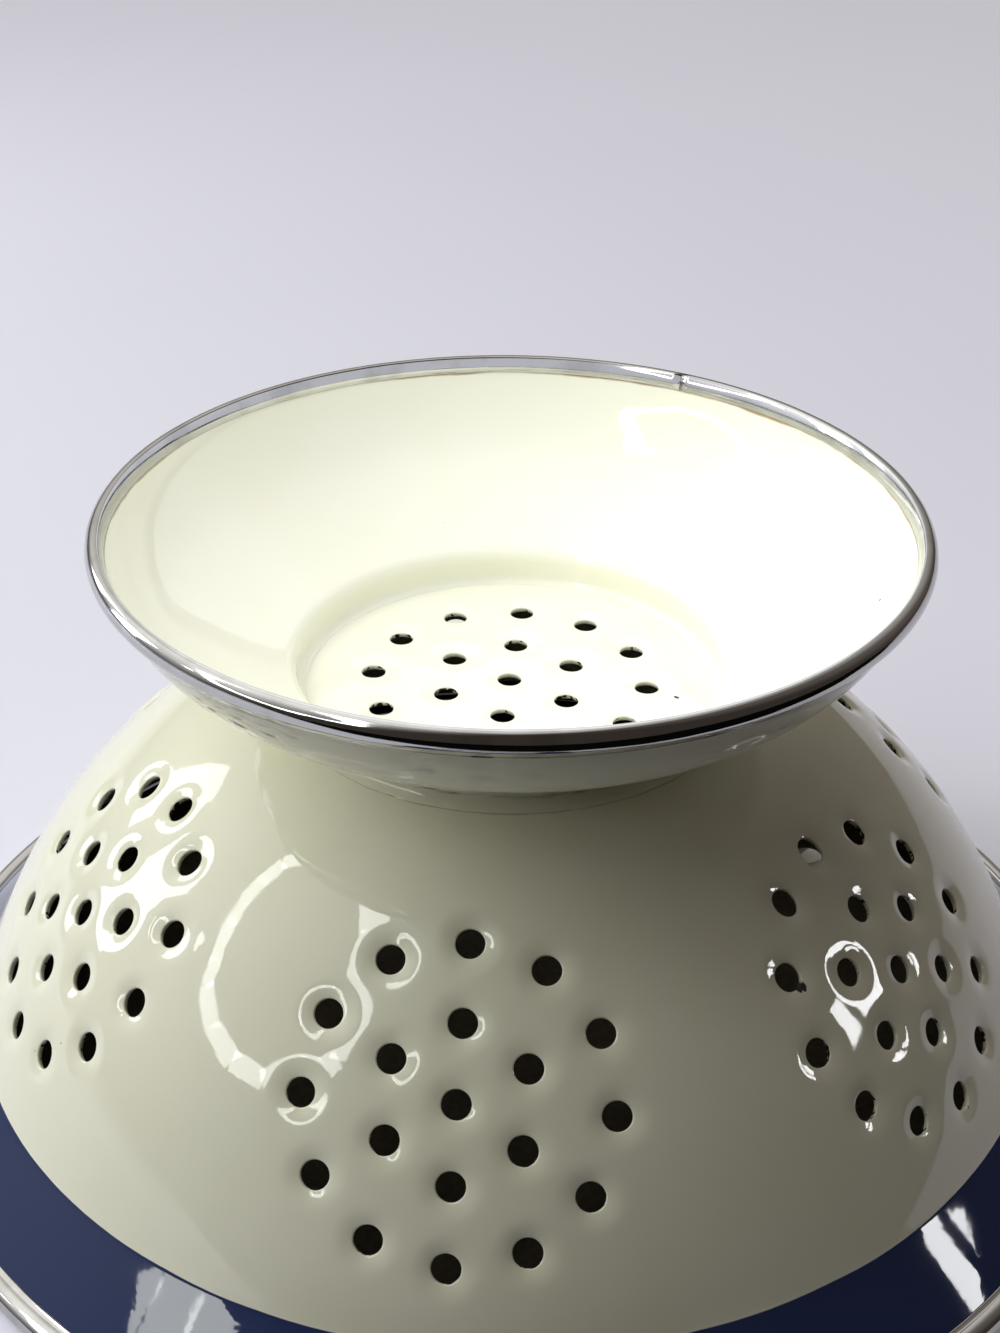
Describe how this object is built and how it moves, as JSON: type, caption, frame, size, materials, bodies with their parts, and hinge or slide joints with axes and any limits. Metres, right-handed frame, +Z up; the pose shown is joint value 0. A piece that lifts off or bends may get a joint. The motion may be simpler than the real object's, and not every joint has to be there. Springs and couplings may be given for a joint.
{
  "type": "colander",
  "caption": "Footed enamelled steel colander, standing mouth down, with drain hole rosettes, a flared lip, steel edge bands and two ears.",
  "frame": {"origin": "centre of the plane that the rim band stands on, with the colander mouth down as pictured; in use it is turned over, half a turn about X", "axes": "+Z up through the middle of the floor and out of the foot; -Y the front ear, towards the picture's camera; +X to the right"},
  "size_m": [0.2428, 0.2968, 0.1149],
  "materials": {
    "bowl_enamel": "glossy cream vitreous enamel, navy on the lip",
    "foot_enamel": "glossy cream vitreous enamel",
    "weld_enamel": "cream enamel over the weld",
    "foot_band_steel": "bright polished stainless steel",
    "rim_band_steel": "bright polished stainless steel",
    "ear_enamel": "glossy navy vitreous enamel",
    "ear_weld_enamel": "navy enamel over the weld"
  },
  "bodies": {
    "root": {"bowl": "bowl_enamel", "foot": "foot_enamel", "foot_weld": "weld_enamel", "foot_band": "foot_band_steel", "rim_band": "rim_band_steel", "ear_front": "ear_enamel", "ear_back": "ear_enamel", "ear_welds": "ear_weld_enamel"}
  },
  "joints": []
}
